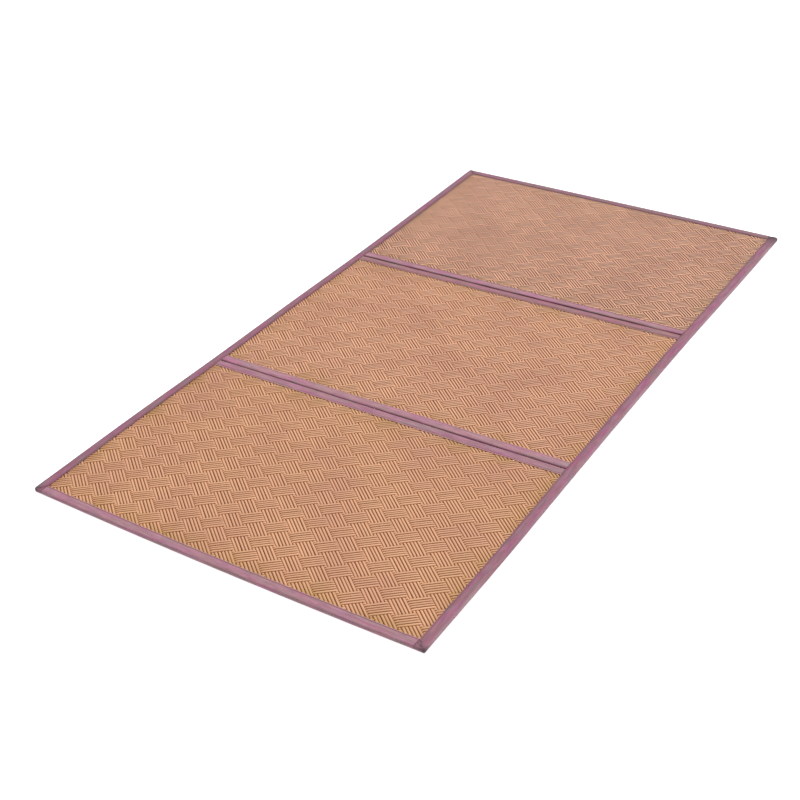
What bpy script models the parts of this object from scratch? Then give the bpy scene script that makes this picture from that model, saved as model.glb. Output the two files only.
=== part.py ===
"""A woven mat of three panels, bound with cloth tape and laid out flat.

Metres, +Z up. The mat lies on the plane z = 0 with the middle of its footprint at the origin.
Its length runs along Y, from the front end at -Y to the back end at +Y, and its width along X.

Every piece is modelled on a tidy rectangle, and lay_unevenly() then moves its points to where the
real, slightly crooked mat has them, so that neighbours keep the same small gap everywhere.
"""

import math

import bmesh
import bpy

# Driving dimensions.
MAT_WIDTH = 1.000
MAT_LENGTH = 1.900
MAT_THICKNESS = 0.009
PANEL_COUNT = 3
TAPE_WIDTH = 0.024  # of the tape that shows on the face, from the mat's edge to the tape's edge
TAPE_CLOTH = 0.001  # thickness of the tape's cloth
WEAVE_DROP = 0.001  # the weave lies this much lower than the tape
EDGE_ROUNDING = 0.0035  # radius of the tape where it turns over the mat's edge
CORNER_ROUNDING = 0.009  # radius of the mat's four corners, seen from above
FOLD_SLIT = 0.002  # between the two bound edges that meet at a fold
GAP = 0.0003  # between pieces that touch

# How many flat facets stand for a curve, and how far apart a piece's cross cuts are.
ROUNDING_FACETS = 3
CUT_SPACING = 0.08
SMOOTH_ANGLE = 40  # degrees; sharper edges stay crisp

# The crooked outline. Each row says how far a line across the mat lies from its true place:
# the share of the length, then the shift along +Y at the left end, at the right end, and what
# its middle adds to those.
CROSS_LINES = (
    # share, left_end, right_end, middle
    (0.0, 0.0035, 0.0035, -0.0060),
    (1 / 3, -0.0090, 0.0015, 0.0000),
    (2 / 3, -0.0085, 0.0105, 0.0000),
    (1.0, 0.0035, -0.0040, 0.0015),
)
# How far the two long edges lie outside their true lines, at shares of the length.
SIDE_LINES = (
    # share, left_edge, right_edge
    (0.0, 0.0045, 0.0038),
    (1 / 6, 0.0046, 0.0041),
    (1 / 3, 0.0001, 0.0000),
    (1 / 2, -0.0009, -0.0029),
    (2 / 3, -0.0043, -0.0036),
    (5 / 6, -0.0020, 0.0001),
    (1.0, 0.0013, 0.0015),
)

# Colours are linear RGB.
TAPE_COLOUR = (0.36, 0.19, 0.235)
WEAVE_COLOUR = (0.53, 0.29, 0.18)
TAPE_ROUGHNESS = 0.85
WEAVE_ROUGHNESS = 0.6

# Worked out from the driving dimensions.
LEFT, RIGHT = -MAT_WIDTH / 2, MAT_WIDTH / 2
FRONT, BACK = -MAT_LENGTH / 2, MAT_LENGTH / 2
FOLDS = tuple(FRONT + MAT_LENGTH * fold / PANEL_COUNT for fold in range(1, PANEL_COUNT))
RIM_INSET = TAPE_CLOTH + GAP  # from the tape's outside to the panel inside it
BODY_INSET = TAPE_WIDTH + GAP  # from the mat's edge to the panel's full thickness


def clear_scene():
    for scene_object in list(bpy.data.objects):
        bpy.data.objects.remove(scene_object)


def cloth_material(name, colour, roughness):
    material = bpy.data.materials.new(name)
    material.use_nodes = True
    shader = material.node_tree.nodes["Principled BSDF"]
    shader.inputs["Base Color"].default_value = (*colour, 1.0)
    shader.inputs["Roughness"].default_value = roughness
    shader.inputs["Metallic"].default_value = 0.0
    return material


def smooth_value(table, column, share):
    """Read a column of a table whose first column is a share, on a smooth curve through its rows."""
    last = len(table) - 1
    row = max(i for i in range(last) if table[i][0] <= share or i == 0)
    before, start, end, after = (
        table[min(max(i, 0), last)][column] for i in (row - 1, row, row + 1, row + 2)
    )
    t = (share - table[row][0]) / (table[row + 1][0] - table[row][0])
    start_slope, end_slope = (end - before) / 2, (after - start) / 2
    return (
        (2 * t**3 - 3 * t**2 + 1) * start
        + (t**3 - 2 * t**2 + t) * start_slope
        + (3 * t**2 - 2 * t**3) * end
        + (t**3 - t**2) * end_slope
    )


def cross_line_shift(line, across):
    """How far along +Y a line of CROSS_LINES is moved, at a share of the mat's width."""
    _, left_end, right_end, middle = line
    bow = 4 * across * (1 - across)
    return left_end * (1 - across) + right_end * across + middle * bow


def lay_unevenly(x, y):
    """The place on the real mat of a point on the tidy rectangle."""
    across = (x - LEFT) / MAT_WIDTH
    along = (y - FRONT) / MAT_LENGTH
    out_left = smooth_value(SIDE_LINES, 1, along)
    out_right = smooth_value(SIDE_LINES, 2, along)
    panel = min(int(along * PANEL_COUNT), PANEL_COUNT - 1)
    near_line, far_line = CROSS_LINES[panel], CROSS_LINES[panel + 1]
    t = (along - near_line[0]) / (far_line[0] - near_line[0])
    shift = cross_line_shift(near_line, across) * (1 - t) + cross_line_shift(far_line, across) * t
    return x - out_left * (1 - across) + out_right * across, y + shift


def box_mesh(low, high):
    """A bmesh box between two corners."""
    mesh = bmesh.new()
    bmesh.ops.create_cube(mesh, size=1.0)
    size = [high[i] - low[i] for i in range(3)]
    middle = [(high[i] + low[i]) / 2 for i in range(3)]
    bmesh.ops.scale(mesh, vec=size, verts=mesh.verts)
    bmesh.ops.translate(mesh, vec=middle, verts=mesh.verts)
    return mesh


def cut_across(mesh, axis, low, high):
    """Cut a mesh across at even steps, so that it can follow the crooked outline."""
    steps = round((high - low) / CUT_SPACING)
    normal = [0.0, 0.0, 0.0]
    normal[axis] = 1.0
    for step in range(1, steps):
        place = [0.0, 0.0, 0.0]
        place[axis] = low + (high - low) * step / steps
        geometry = mesh.verts[:] + mesh.edges[:] + mesh.faces[:]
        bmesh.ops.bisect_plane(mesh, geom=geometry, plane_co=place, plane_no=normal)


def is_at(value, target):
    return abs(value - target) < 1e-5


def upright_edges(mesh, x, y_low, y_high):
    """The upright edges at one x, or at both sides of it, and at either of two values of y."""
    return [
        edge
        for edge in mesh.edges
        if not is_at(edge.verts[0].co.z, edge.verts[1].co.z)
        and is_at(abs(edge.verts[0].co.x), abs(x))
        and (is_at(edge.verts[0].co.y, y_low) or is_at(edge.verts[0].co.y, y_high))
    ]


def outline_edges(mesh):
    """The edges where an upright wall meets a level face."""
    return [
        edge
        for edge in mesh.edges
        if len(edge.link_faces) == 2
        and sum(abs(face.normal.z) < 0.5 for face in edge.link_faces) == 1
    ]


def round_edges(mesh, edges, radius):
    bmesh.ops.bevel(
        mesh,
        geom=edges,
        offset=radius,
        offset_type="OFFSET",
        affect="EDGES",
        segments=ROUNDING_FACETS,
        profile=0.5,
        material=-1,
    )


def open_up(mesh, is_open):
    """Delete the faces whose middle passes a test."""
    faces = [face for face in mesh.faces if is_open(face.calc_center_median())]
    bmesh.ops.delete(mesh, geom=faces, context="FACES_ONLY")


def add_piece(name, mesh, material, collection):
    """Turn a bmesh into an object of the mat's collection, laid out as crookedly as the real one."""
    for vert in mesh.verts:
        vert.co.x, vert.co.y = lay_unevenly(vert.co.x, vert.co.y)
    data = bpy.data.meshes.new(name)
    mesh.to_mesh(data)
    mesh.free()
    data.shade_smooth()
    data.set_sharp_from_angle(angle=math.radians(SMOOTH_ANGLE))
    data.materials.append(material)
    piece = bpy.data.objects.new(name, data)
    collection.objects.link(piece)
    return piece


def build_panel(name, near_edge, far_edge, material, collection):
    """A woven slab, as thick as the mat's weave, with a thin rim that lies inside the folded tape."""
    low = (LEFT + RIM_INSET, near_edge + RIM_INSET, RIM_INSET)
    high = (RIGHT - RIM_INSET, far_edge - RIM_INSET, MAT_THICKNESS - RIM_INSET)
    mesh = box_mesh(low, high)
    top = next(face for face in mesh.faces if face.normal.z > 0.5)
    bottom = next(face for face in mesh.faces if face.normal.z < -0.5)
    for face in (top, bottom):
        rim_width = BODY_INSET - RIM_INSET
        bmesh.ops.inset_region(mesh, faces=[face], thickness=rim_width, use_even_offset=True)
    round_edges(mesh, upright_edges(mesh, high[0], low[1], high[1]), CORNER_ROUNDING - RIM_INSET)
    round_edges(mesh, outline_edges(mesh), EDGE_ROUNDING - RIM_INSET)
    for face, step in ((top, RIM_INSET - WEAVE_DROP), (bottom, RIM_INSET)):
        bmesh.ops.inset_region(mesh, faces=[face], thickness=0.0, depth=step)
    cut_across(mesh, 0, low[0], high[0])
    cut_across(mesh, 1, low[1], high[1])
    return add_piece(name, mesh, material, collection)


def add_cloth_thickness(piece):
    """The tape is modelled as its outer surface, and its cloth is added on the inside."""
    solidify = piece.modifiers.new("cloth", "SOLIDIFY")
    solidify.thickness = TAPE_CLOTH
    solidify.offset = -1.0
    solidify.use_even_offset = True


def build_side_tape(name, side, material, collection):
    """The tape of a long edge, past both folds, with its ends folded closed round the corners."""
    outer, inner = side * RIGHT, side * (RIGHT - TAPE_WIDTH)
    low = (min(outer, inner), FRONT, 0.0)
    high = (max(outer, inner), BACK, MAT_THICKNESS)
    mesh = box_mesh(low, high)
    open_up(mesh, lambda middle: is_at(middle.x, inner))
    round_edges(mesh, upright_edges(mesh, outer, FRONT, BACK), CORNER_ROUNDING)
    round_edges(mesh, outline_edges(mesh), EDGE_ROUNDING)
    cut_across(mesh, 1, FRONT, BACK)
    piece = add_piece(name, mesh, material, collection)
    add_cloth_thickness(piece)
    return piece


def build_cross_tape(name, outer, inward, material, collection):
    """The tape of an edge across the mat. Its ends butt against the two side tapes."""
    inner = outer + inward * TAPE_WIDTH
    low = (LEFT + BODY_INSET, min(outer, inner), 0.0)
    high = (RIGHT - BODY_INSET, max(outer, inner), MAT_THICKNESS)
    mesh = box_mesh(low, high)
    open_up(mesh, lambda middle: is_at(middle.y, inner) or is_at(abs(middle.x), high[0]))
    round_edges(mesh, outline_edges(mesh), EDGE_ROUNDING)
    cut_across(mesh, 0, low[0], high[0])
    piece = add_piece(name, mesh, material, collection)
    add_cloth_thickness(piece)
    return piece


def centre_on_origin(pieces):
    """Slide the mat so that the middle of its footprint is at the origin."""
    points = [vert.co for piece in pieces for vert in piece.data.vertices]
    slide = [
        -(min(point[axis] for point in points) + max(point[axis] for point in points)) / 2
        for axis in (0, 1)
    ]
    for point in points:
        point.x += slide[0]
        point.y += slide[1]


def build_mat():
    clear_scene()
    collection = bpy.data.collections.new("woven_mat")
    bpy.context.scene.collection.children.link(collection)
    half_slit = FOLD_SLIT / 2

    panel_edges = (
        ("panel_front", FRONT, FOLDS[0] - half_slit),
        ("panel_middle", FOLDS[0] + half_slit, FOLDS[1] - half_slit),
        ("panel_back", FOLDS[1] + half_slit, BACK),
    )
    tape_edges = (
        ("tape_front", FRONT, 1),
        ("fold_tape_1_near", FOLDS[0] - half_slit, -1),
        ("fold_tape_1_far", FOLDS[0] + half_slit, 1),
        ("fold_tape_2_near", FOLDS[1] - half_slit, -1),
        ("fold_tape_2_far", FOLDS[1] + half_slit, 1),
        ("tape_back", BACK, -1),
    )
    pieces = []
    for name, near_edge, far_edge in panel_edges:
        weave = cloth_material(name, WEAVE_COLOUR, WEAVE_ROUGHNESS)
        pieces.append(build_panel(name, near_edge, far_edge, weave, collection))
    for name, outer, inward in tape_edges:
        tape = cloth_material(name, TAPE_COLOUR, TAPE_ROUGHNESS)
        pieces.append(build_cross_tape(name, outer, inward, tape, collection))
    for name, side in (("side_tape_left", -1), ("side_tape_right", 1)):
        tape = cloth_material(name, TAPE_COLOUR, TAPE_ROUGHNESS)
        pieces.append(build_side_tape(name, side, tape, collection))
    centre_on_origin(pieces)


build_mat()
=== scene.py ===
# %% [markdown]
# # A folding woven floor mat
#
# The mat is three equal panels of woven plant strands, bound all round and at the two folds with
# mauve cotton tape. Its plain solids say where everything is. This lesson dresses them: the weave is
# made strand by strand, the tape is folded from cloth and its thread is sewn in, because each of
# them shows in the light. The first cell reads the solids' box, whose top gives the mat's thickness.

import math

import bmesh
import bpy
import numpy as np
from mathutils import Matrix, Quaternion, Vector, noise


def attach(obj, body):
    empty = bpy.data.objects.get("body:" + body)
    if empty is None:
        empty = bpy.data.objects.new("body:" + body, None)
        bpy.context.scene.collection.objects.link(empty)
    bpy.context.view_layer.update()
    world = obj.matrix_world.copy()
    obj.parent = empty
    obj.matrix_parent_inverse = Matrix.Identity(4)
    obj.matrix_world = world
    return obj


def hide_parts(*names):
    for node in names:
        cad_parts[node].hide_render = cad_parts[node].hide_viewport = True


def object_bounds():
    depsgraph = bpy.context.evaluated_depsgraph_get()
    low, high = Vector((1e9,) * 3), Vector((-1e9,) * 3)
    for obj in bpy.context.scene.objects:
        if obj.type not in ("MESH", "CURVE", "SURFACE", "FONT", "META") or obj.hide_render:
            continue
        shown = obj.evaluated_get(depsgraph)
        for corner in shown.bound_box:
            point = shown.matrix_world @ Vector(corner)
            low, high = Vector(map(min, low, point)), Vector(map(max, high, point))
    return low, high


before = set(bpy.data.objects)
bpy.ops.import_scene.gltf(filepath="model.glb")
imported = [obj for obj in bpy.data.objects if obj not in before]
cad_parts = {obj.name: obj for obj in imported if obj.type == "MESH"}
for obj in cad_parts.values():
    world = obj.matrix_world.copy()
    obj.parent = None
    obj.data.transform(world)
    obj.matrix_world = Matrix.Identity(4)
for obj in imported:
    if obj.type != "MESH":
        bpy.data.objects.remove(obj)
scene = bpy.context.scene
cad_low, cad_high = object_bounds()
print("solids from", tuple(cad_low), "to", tuple(cad_high))

# %% [markdown]
# ## The camera
#
# The mat is seen from in front of its near right corner, from a little over head height. Its edges,
# folds and corners fix the direction, a slight roll, the point looked at, the distance and the lens.
# With a wrong lens, no distance would narrow the mat rightly towards its far end.

# %% Place the camera
LENS = 61.185  # mm, on a sensor 36 mm wide
AZIMUTH, ELEVATION, ROLL = math.radians(34.19), math.radians(33.49), math.radians(-2.93)
LOOKED_AT = Vector((0.0061, -0.2521, 0.0))
DISTANCE = 3.2238


def towards(turn, height):
    """A direction turned from +X towards +Y, and raised above the floor."""
    return Vector((math.cos(turn) * math.cos(height), math.sin(turn) * math.cos(height), math.sin(height)))


def aim(thing, place, direction, roll=0.0):
    """Puts a camera or a lamp in the scene, at a place and turned to a direction."""
    thing.location = place
    thing.rotation_mode = "QUATERNION"
    thing.rotation_quaternion = direction.to_track_quat("-Z", "Y") @ Quaternion((0, 0, 1), roll)
    scene.collection.objects.link(thing)


forward = towards(math.pi / 2 + AZIMUTH, -ELEVATION)
camera = bpy.data.objects.new("camera", bpy.data.cameras.new("camera"))
camera.data.lens = LENS
aim(camera, LOOKED_AT - forward * DISTANCE, forward, ROLL)
scene.camera = camera
print("camera at", tuple(camera.location))

# %% [markdown]
# ## Small helpers
#
# These helpers make a node with its values, join sockets and start a node group, so that what several
# finishes share is written once and placed in each with its own values. A few more help with shapes.

# %% Helpers for nodes
COLOUR, NUMBER, PLACE = "NodeSocketColor", "NodeSocketFloat", "NodeSocketVector"


def fill(node, values):
    """Gives a node's inputs their values, by name or number. A value that is a socket is joined."""
    for socket, value in values.items():
        if isinstance(value, bpy.types.NodeSocket):
            node.id_data.links.new(value, node.inputs[socket])
        else:
            node.inputs[socket].default_value = value


def add_node(tree, kind, values=None, **settings):
    """A node with its settings and the values of its inputs."""
    node = tree.nodes.new(kind)
    for name, value in settings.items():
        setattr(node, name, value)
    fill(node, values or {})
    return node


def math_node(operation, first, second=0.0, third=0.0):
    """The output of a Math node. Its first input is a socket, and the others are sockets or numbers."""
    values = {0: first, 1: second, 2: third}
    return add_node(first.id_data, "ShaderNodeMath", values, operation=operation).outputs[0]


def new_group(name, inputs, outputs):
    """A node group, what it is given and its output node. Inputs and outputs are labels by kind."""
    tree = bpy.data.node_groups.new(name, "ShaderNodeTree")
    for side, sockets in (("INPUT", inputs), ("OUTPUT", outputs)):
        for kind, labels in sockets.items():
            for label in labels:
                tree.interface.new_socket(label, in_out=side, socket_type=kind)
    return tree, tree.nodes.new("NodeGroupInput").outputs, tree.nodes.new("NodeGroupOutput")


def place_group(tree, group, values):
    """A group placed in a material, with its values."""
    return add_node(tree, "ShaderNodeGroup", values, node_tree=group)


def new_material(name):
    """A material, its tree and its shader."""
    material = bpy.data.materials.new(name)
    material.use_nodes = True
    return material, material.node_tree, material.node_tree.nodes["Principled BSDF"]


def attribute_value(tree, name):
    """The value of one of the piece's attributes."""
    return add_node(tree, "ShaderNodeAttribute", attribute_name=name).outputs["Fac"]


def object_place(tree):
    """Where a point is on its object."""
    return add_node(tree, "ShaderNodeTexCoord").outputs["Object"]


def parts_of(place):
    """The sockets of a place's X, Y and Z."""
    return add_node(place.id_data, "ShaderNodeSeparateXYZ", {0: place}).outputs


def noise_value(place, scale, **more):
    """Soft noise at a place. Its other inputs go by their own names."""
    values = {"Vector": place, "Scale": scale, **more}
    return add_node(place.id_data, "ShaderNodeTexNoise", values).outputs["Fac"]


def carry(value, start, end, low=0.0, high=1.0, shape="LINEAR"):
    """Carries a value that goes from start to end to one that goes from low to high."""
    limits = {"Value": value, "From Min": start, "From Max": end, "To Min": low, "To Max": high}
    return add_node(value.id_data, "ShaderNodeMapRange", limits, interpolation_type=shape).outputs[0]


def blend(factor, colour, other):
    """The colour that a factor blends from one colour to another."""
    values = {"Factor": factor, 6: colour, 7: other}
    return add_node(factor.id_data, "ShaderNodeMix", values, data_type="RGBA").outputs[2]


def bumps(height, strength, distance):
    """The normal of a skin with a height."""
    values = {"Strength": strength, "Distance": distance, "Height": height}
    return add_node(height.id_data, "ShaderNodeBump", values).outputs[0]


def toned(tone, strength=1.0):
    """A colour for a socket, from linear RGB, made brighter or darker."""
    return (*(strength * part for part in tone), 1)


# %% Helpers for shapes
X, Y, Z = 0, 1, 2


def to_data(mesh, name):
    """The mesh data of a bmesh, which is freed."""
    data = bpy.data.meshes.new(name)
    mesh.to_mesh(data)
    mesh.free()
    return data


def points_of(data):
    """The points of mesh data, one row each."""
    points = np.empty(len(data.vertices) * 3)
    data.vertices.foreach_get("co", points)
    return points.reshape(-1, 3)


def all_of(mesh):
    """All the geometry of a bmesh."""
    return mesh.verts[:] + mesh.edges[:] + mesh.faces[:]


def only(kind, parts):
    """The parts of some geometry that are of one kind."""
    return [part for part in parts if isinstance(part, kind)]


# %% [markdown]
# ## The floor
#
# The floor is plain and white, and glows a little, as the lit paper of a studio does. It doesn't glow
# under the mat, because that light would shine up through the slits at the folds.

# %% Make the floor
FLOOR_SIDE = 60.0
FLOOR_DROP = 0.0002  # keeps the floor's face just under the mat's
FLOOR_GREY = (0.6, 0.6, 0.6)
GLOW = 0.8
GLOW_EDGES = {"X": 0.49, "Y": 0.94}  # just inside the mat's edges, past which the floor glows

floor_mesh = bmesh.new()
bmesh.ops.create_grid(floor_mesh, x_segments=1, y_segments=1, size=FLOOR_SIDE / 2)
bmesh.ops.translate(floor_mesh, vec=(0, 0, -FLOOR_DROP), verts=floor_mesh.verts)
floor = bpy.data.objects.new("floor", to_data(floor_mesh, "floor"))
scene.collection.objects.link(floor)

floor_material, floor_tree, floor_shader = new_material("floor_paper")
floor_place = parts_of(object_place(floor_tree))
past_edges = [
    math_node("GREATER_THAN", math_node("ABSOLUTE", floor_place[axis]), edge)
    for axis, edge in GLOW_EDGES.items()
]
is_bare = math_node("MAXIMUM", *past_edges)
fill(floor_shader, {
    "Base Color": toned(FLOOR_GREY), "Roughness": 0.9, "Specular IOR Level": 0.1,
    "Emission Color": (1, 1, 1, 1), "Emission Strength": math_node("MULTIPLY", is_bare, GLOW),
})
floor.data.materials.append(floor_material)
print("floor", FLOOR_SIDE, "m wide,", FLOOR_DROP * 1000, "mm under the mat")

# %% [markdown]
# ## The light
#
# The light is a studio's: white all round, and a large soft lamp high behind the mat. The lamp is far
# away, so a sun lamp with a wide disc stands for it, and every part of the mat gets the same light.
# From behind, it rakes over the strands towards the camera and leaves the mat's front walls in shade.

# %% Make the light
LAMP_TURN, LAMP_HEIGHT = math.radians(100), math.radians(52)  # behind the mat
LAMP_DISTANCE = 4.0
LAMP_DISC = math.radians(20)
LAMP_POWER = 2.4
SURROUND = 0.55

lamp = bpy.data.objects.new("key_lamp", bpy.data.lights.new("key_lamp", "SUN"))
lamp.data.angle = LAMP_DISC
lamp.data.energy = LAMP_POWER
lamp_direction = towards(LAMP_TURN, LAMP_HEIGHT)
aim(lamp, lamp_direction * LAMP_DISTANCE, -lamp_direction)

world = bpy.data.worlds.new("studio")
world.use_nodes = True
fill(world.node_tree.nodes["Background"], {"Color": (1, 1, 1, 1), "Strength": SURROUND})
scene.world = world
scene.view_settings.view_transform = "Standard"
print("lamp at", tuple(lamp.location))

# %% [markdown]
# ## Where the mat's edges run
#
# No real mat is a perfect rectangle. The solids have the crooked outline, so their edges are read
# back as lines: for a tape, the outermost point of its side wall at each of its cross cuts. A smooth
# bend of a tidy 1.0 by 1.9 m rectangle then carries any point to its real place, so that tapes and
# stitches can be modelled straight.

# %% Read the edges from the solids
MAT_WIDTH, MAT_LENGTH = 1.000, 1.900
MAT_THICKNESS = cad_high.z
TAPE_WIDTH = 0.024
FOLD_SLIT = 0.002
LEFT, RIGHT = -MAT_WIDTH / 2, MAT_WIDTH / 2
FRONT, BACK = -MAT_LENGTH / 2, MAT_LENGTH / 2
FOLD_1, FOLD_2 = FRONT + MAT_LENGTH / 3, FRONT + 2 * MAT_LENGTH / 3
NEAR_1, FAR_1, NEAR_2, FAR_2 = (
    fold + side * FOLD_SLIT / 2 for fold in (FOLD_1, FOLD_2) for side in (-1, 1)
)
CROSS_TAPES = (
    # name, place of its fold on the tidy rectangle, which way its hems lie
    ("tape_front", FRONT, 1),
    ("fold_tape_1_near", NEAR_1, -1),
    ("fold_tape_1_far", FAR_1, 1),
    ("fold_tape_2_near", NEAR_2, -1),
    ("fold_tape_2_far", FAR_2, 1),
    ("tape_back", BACK, -1),
)
SIDE_TAPES = (("side_tape_left", LEFT, 1), ("side_tape_right", RIGHT, -1))


def outer_line(name, along, side):
    """Two rows, places along a tape and its outermost reach there, for one side of the tape. The
    line goes on straight for one more step past each end."""
    across = 1 - along
    points = points_of(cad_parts[name].data)
    wall = points[np.abs(points[:, Z] - MAT_THICKNESS / 2) < MAT_THICKNESS / 6]
    wall = wall[np.argsort(wall[:, along])]
    cuts = np.split(wall, np.where(np.diff(wall[:, along]) > MAT_THICKNESS)[0] + 1)
    outermost = [cut[np.argmax(cut[:, across] * side)] for cut in cuts]
    line = [point[[along, across]] for point in outermost]
    return np.array([2 * line[0] - line[1], *line, 2 * line[-1] - line[-2]]).T


SIDE_LINES = [outer_line(name, Y, -inward) for name, _, inward in SIDE_TAPES]
CROSS_LINES = {place: outer_line(name, X, -inward) for name, place, inward in CROSS_TAPES}


def real_places(x, y):
    """Carries points of the tidy rectangle, as two arrays, to their places on the real mat."""
    tidy_lines = list(CROSS_LINES)
    real_lines = np.array([np.interp(x, *line) for line in CROSS_LINES.values()])
    below = np.clip(np.searchsorted(tidy_lines, y, side="right") - 1, 0, len(tidy_lines) - 2)
    low, high = np.take(tidy_lines, below), np.take(tidy_lines, below + 1)
    share = (y - low) / (high - low)
    columns = np.arange(len(x))
    real_y = real_lines[below, columns] * (1 - share) + real_lines[below + 1, columns] * share
    left, right = (np.interp(real_y, *line) for line in SIDE_LINES)
    return left + (right - left) * (x - LEFT) / MAT_WIDTH, real_y


corners = real_places(np.array([LEFT, RIGHT, RIGHT, LEFT]), np.array([FRONT, FRONT, BACK, BACK]))
print("corners of the mat:", np.round(np.column_stack(corners), 4).tolist())

# %% [markdown]
# ## The weave: what it is
#
# Two sets of flat strands cross at about 80 degrees, one rising to the right and one falling to the
# right. Five neighbouring strands float together over seven of the other set, then go under five, so
# the face is a chequer of lozenges, each with its strands running one way. Between two lozenges lies
# a single strand that comes up only once in the repeat, as a bead at the lozenges' corners. The
# repeat is twelve strands, or about 64 by 54 mm along the mat's sides.
#
# A bump map would give the lines, but not how a strand dives under its neighbours, nor the dark gaps
# seen from a low angle. So the strands are real. One is modelled, as an oval ring extruded along its
# waving path, and copied at the pitch of the weave.

# %% The sizes of the weave
REPEAT = 12  # strands, after which the weave is the same again
REPEAT_WIDTH, REPEAT_DEPTH = 0.0636, 0.0542  # from one lozenge to the next of its kind, along X and Y
STRAND_KINDS = (
    # first strand of a kind, how many are alike, how many each floats over, the float's middle
    (-2, 5, 7, 0),
    (3, 1, 1, 3),
    (4, 5, 7, 6),
    (9, 1, 1, 9),
)
WEAVE_THICKNESS = MAT_THICKNESS - 0.001  # the weave lies a little lower than the tape
LEAN = math.atan2(REPEAT_DEPTH, REPEAT_WIDTH)
PITCH = math.hypot(REPEAT_WIDTH, REPEAT_DEPTH) / REPEAT  # measured along the other set's strands
PERIOD = REPEAT * PITCH
STRAND_SPACING = PITCH * math.sin(2 * LEAN)  # square across the strands
STRAND_FILL = 0.92  # of the spacing, which leaves a dark gap between two strands
STRAND_WIDTH = STRAND_SPACING * STRAND_FILL
STRAND_THICKNESS = WEAVE_THICKNESS / 2 - 0.0001
RISING = Vector((math.cos(LEAN), math.sin(LEAN), 0))
FALLING = Vector((math.cos(LEAN), -math.sin(LEAN), 0))
print("lean", round(math.degrees(LEAN), 2), "degrees, strands", round(STRAND_SPACING * 1000, 2), "mm apart")

# %% [markdown]
# ## One strand
#
# The strand starts as a circle of eight points, stood on end, with a flat top, and squeezed to an
# oval. It is extruded once for each station of its path, and each ring is then moved to its station.
# A float is a low arch. At its ends the strand dives between two strands of the other set, and is
# pressed thinner as it goes under them.

# %% Model one strand
SECTION_POINTS = 8
DIVE_START, DIVE_END = 0.3, 0.5  # strands, before and after the middle of the gap it dives through
SHOULDER = 0.8  # strands, from the middle of that gap to the flat part of a float
DIVE_LIFT, DIVE_THICKNESS = 0.93, 0.92  # shares of the full lift and thickness, where a dive starts
UNDER_LIFT, UNDER_THICKNESS = 0.03, 0.75  # and under the other set


def float_stations(over):
    """One period of a strand's path, as strands along, and height and thickness as shares. The
    middle of its float is at 0."""
    half = over / 2
    tops = (-half + SHOULDER, half - SHOULDER) if half > SHOULDER else (0.0,)
    return (
        (-half + DIVE_START, DIVE_LIFT, DIVE_THICKNESS),
        *((top, 1.0, 1.0) for top in tops),
        (half - DIVE_START, DIVE_LIFT, DIVE_THICKNESS),
        (half + DIVE_END, UNDER_LIFT, UNDER_THICKNESS),
        (REPEAT - half - DIVE_END, UNDER_LIFT, UNDER_THICKNESS),
    )


def model_strand(over, periods):
    """A mesh of one strand along +X. Its first float's middle is at the origin."""
    mesh = bmesh.new()
    ring = bmesh.ops.create_circle(mesh, segments=SECTION_POINTS, radius=0.5)["verts"]
    half_step = math.pi / SECTION_POINTS
    bmesh.ops.rotate(mesh, verts=ring, matrix=Matrix.Rotation(half_step, 3, "Z"))
    bmesh.ops.rotate(mesh, verts=ring, matrix=Matrix.Rotation(math.radians(90), 3, "Y"))
    squeeze = (1, STRAND_WIDTH / math.cos(half_step), STRAND_THICKNESS / math.cos(half_step))
    bmesh.ops.scale(mesh, verts=ring, vec=squeeze)
    stations = [
        (period * PERIOD + crossings * PITCH, lift, thickness)
        for period in range(periods)
        for crossings, lift, thickness in float_stations(over)
    ]
    rings, edges = [ring], mesh.edges[:]
    for _ in stations[1:]:
        grown = bmesh.ops.extrude_edge_only(mesh, edges=edges)["geom"]
        ring = only(bmesh.types.BMVert, grown)
        edges = [edge for edge in only(bmesh.types.BMEdge, grown) if set(edge.verts) <= set(ring)]
        rings.append(ring)
    lowest, travel = STRAND_THICKNESS / 2, WEAVE_THICKNESS - STRAND_THICKNESS
    for ring, (along, lift, thickness) in zip(rings, stations):
        bmesh.ops.scale(mesh, verts=ring, vec=(1, 1, thickness))
        bmesh.ops.translate(mesh, verts=ring, vec=(along, 0, lowest + travel * lift))
    bmesh.ops.recalc_face_normals(mesh, faces=mesh.faces)
    return to_data(mesh, "strand")


# %% [markdown]
# ## A field of strands, cut to the panel
#
# Twelve strands of the four kinds are laid side by side and then repeated. The rising set is the same
# as the falling set, but half a period later, and that alone makes the two interlace. Planes along
# the panel's four edges cut the field a few millimetres inside the mat's edge, where the cut ends are
# closed, and once more at the tape's hem, where the strands start to be pressed.

# %% Make and cut a field
PANELS = (
    # name, near and far edge, middle of a falling lozenge, width and depth of the repeat, its turn
    ("front", FRONT, NEAR_1, (0.0113, -0.6563), (0.0642, 0.0531), 0.5),
    ("middle", FAR_1, NEAR_2, (0.0270, -0.0258), (0.0628, 0.0547), 1.8),
    ("back", FAR_2, BACK, (-0.0104, 0.6077), (0.0638, 0.0550), -0.3),
)
CUT_INSET = 0.005  # from the mat's edge to the cut ends of the strands
REPEATS_AT_ONCE = 4  # so that a field can be doubled twice


def weave_matrix(lozenge, size, turn):
    """Carries the tidy weave, whose origin is the middle of a falling lozenge, to a panel."""
    place = Matrix.Translation((*lozenge, 0)) @ Matrix.Rotation(math.radians(turn), 4, "Z")
    return place @ Matrix.Diagonal((size[X] / REPEAT_WIDTH, size[Y] / REPEAT_DEPTH, 1, 1))


def oblique(x, y, run):
    """How far a place lies from the weave's origin, along the strands of one set and across them."""
    rising = (x / math.cos(LEAN) + y / math.sin(LEAN)) / 2
    falling = (x / math.cos(LEAN) - y / math.sin(LEAN)) / 2
    return (rising, falling) if run == RISING else (falling, rising)


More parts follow.
